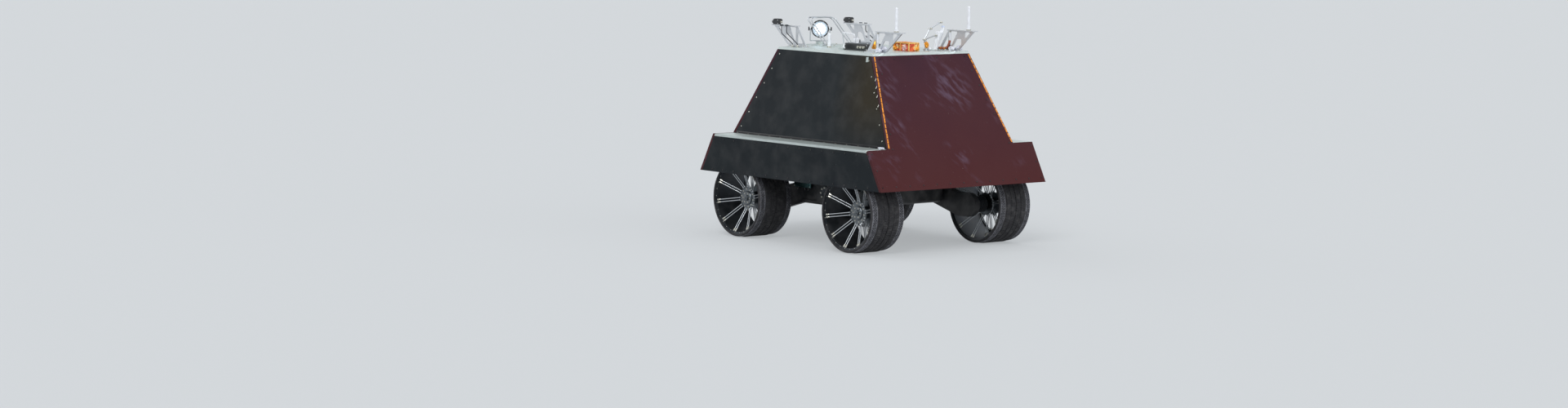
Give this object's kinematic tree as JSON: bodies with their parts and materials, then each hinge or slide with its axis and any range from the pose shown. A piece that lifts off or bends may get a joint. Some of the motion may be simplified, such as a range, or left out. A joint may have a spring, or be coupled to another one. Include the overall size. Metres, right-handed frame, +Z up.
{
  "type": "planetary rover prototype",
  "caption": "Four-wheeled planetary rover prototype with a raked closed body over wide spoked wheels, deck brackets, stub antennas, cameras and an aimable lamp.",
  "frame": {"origin": "on the ground under the middle of the body", "axes": "+X forward, +Y to the vehicle's left, +Z up"},
  "size_m": [2.3792, 1.82, 2.003],
  "materials": {
    "tyre_rubber": "dusty moulded rubber",
    "rim_metal": "satin, dusty",
    "spoke_steel": "drawn rod",
    "drive_casting": "machined casting",
    "frame_paint": "satin black paint",
    "battery_case": "moulded",
    "controller_case": "anodised",
    "bare_aluminium": "rolled plate",
    "bracket_aluminium": "machined plate",
    "black_panel": "dark laminate, satin",
    "maroon_panel": "dark laminate under amber film, dusty",
    "amber_tape": "metallised film tape",
    "amber_film": "crinkled metallised film",
    "white_plastic": "moulded, semi-gloss",
    "camera_body": "black anodised",
    "black_box": "powder coat",
    "lamp_body": "powder coat",
    "lamp_lens": "clear lens, lit",
    "steel_tube": "satin tube",
    "lead_jacket": "cable jacket",
    "copper_foil": "copper-coloured film wrap"
  },
  "bodies": {
    "chassis": {"chassis_tub": "frame_paint", "battery_pack": "battery_case", "floor_deck": "bare_aluminium", "underframe": "frame_paint", "cross_beams": "frame_paint", "ledge_ribs": "frame_paint", "top_deck": "bare_aluminium", "camera_leads": "lead_jacket", "antenna_leads": "white_plastic", "white_lead": "white_plastic", "payload_plate": "bare_aluminium", "lamp_mount": "bare_aluminium", "lamp_guard": "steel_tube", "electronics_box": "black_box", "film_wrapped_box": "amber_film", "sensor": "white_plastic", "sensor_arm": "steel_tube", "harness": "copper_foil", "beacon": "white_plastic", "drive_unit_front_left": "drive_casting", "bracket_front_left": "bracket_aluminium", "drive_unit_front_right": "drive_casting", "bracket_front_right": "bracket_aluminium", "drive_unit_rear_left": "drive_casting", "bracket_rear_left": "bracket_aluminium", "drive_unit_rear_right": "drive_casting", "bracket_rear_right": "bracket_aluminium", "rocker_arm_left": "frame_paint", "motor_controller_left": "controller_case", "skirt_left": "black_panel", "side_panel_left": "black_panel", "antenna_left": "white_plastic", "camera_left": "camera_body", "rocker_arm_right": "frame_paint", "motor_controller_right": "controller_case", "skirt_right": "black_panel", "side_panel_right": "black_panel", "antenna_right": "white_plastic", "camera_right": "camera_body", "end_panel_front": "maroon_panel", "edge_trim_front": "amber_tape", "end_panel_rear": "maroon_panel", "edge_trim_rear": "amber_tape"},
    "wheel_front_left": {"tyre_front_left": "tyre_rubber", "rim_front_left": "rim_metal", "spoked_hub_front_left": "spoke_steel"},
    "wheel_front_right": {"tyre_front_right": "tyre_rubber", "rim_front_right": "rim_metal", "spoked_hub_front_right": "spoke_steel"},
    "wheel_rear_left": {"tyre_rear_left": "tyre_rubber", "rim_rear_left": "rim_metal", "spoked_hub_rear_left": "spoke_steel"},
    "wheel_rear_right": {"tyre_rear_right": "tyre_rubber", "rim_rear_right": "rim_metal", "spoked_hub_rear_right": "spoke_steel"},
    "lamp_yoke_body": {"lamp_yoke": "steel_tube"},
    "lamp_head_body": {"lamp_head": "lamp_body", "lamp_lens": "lamp_lens"}
  },
  "joints": [
    {"name": "wheel_front_left_spin", "type": "hinge", "parent": "chassis", "child": "wheel_front_left", "pos_m": [0.725, 0.705, 0.33], "axis": [0, 1, 0], "continuous": true},
    {"name": "wheel_front_right_spin", "type": "hinge", "parent": "chassis", "child": "wheel_front_right", "pos_m": [0.725, -0.705, 0.33], "axis": [0, 1, 0], "continuous": true},
    {"name": "wheel_rear_left_spin", "type": "hinge", "parent": "chassis", "child": "wheel_rear_left", "pos_m": [-0.725, 0.705, 0.33], "axis": [0, 1, 0], "continuous": true},
    {"name": "wheel_rear_right_spin", "type": "hinge", "parent": "chassis", "child": "wheel_rear_right", "pos_m": [-0.725, -0.705, 0.33], "axis": [0, 1, 0], "continuous": true},
    {"name": "lamp_pan", "type": "hinge", "parent": "chassis", "child": "lamp_yoke_body", "pos_m": [0.7, 0, 1.64], "axis": [0, 0, 1], "range_deg": [-170, 170]},
    {"name": "lamp_tilt", "type": "hinge", "parent": "lamp_yoke_body", "child": "lamp_head_body", "pos_m": [0.7, 0, 1.758], "axis": [-0.6428, -0.766, 0], "range_deg": [-35, 60]}
  ]
}
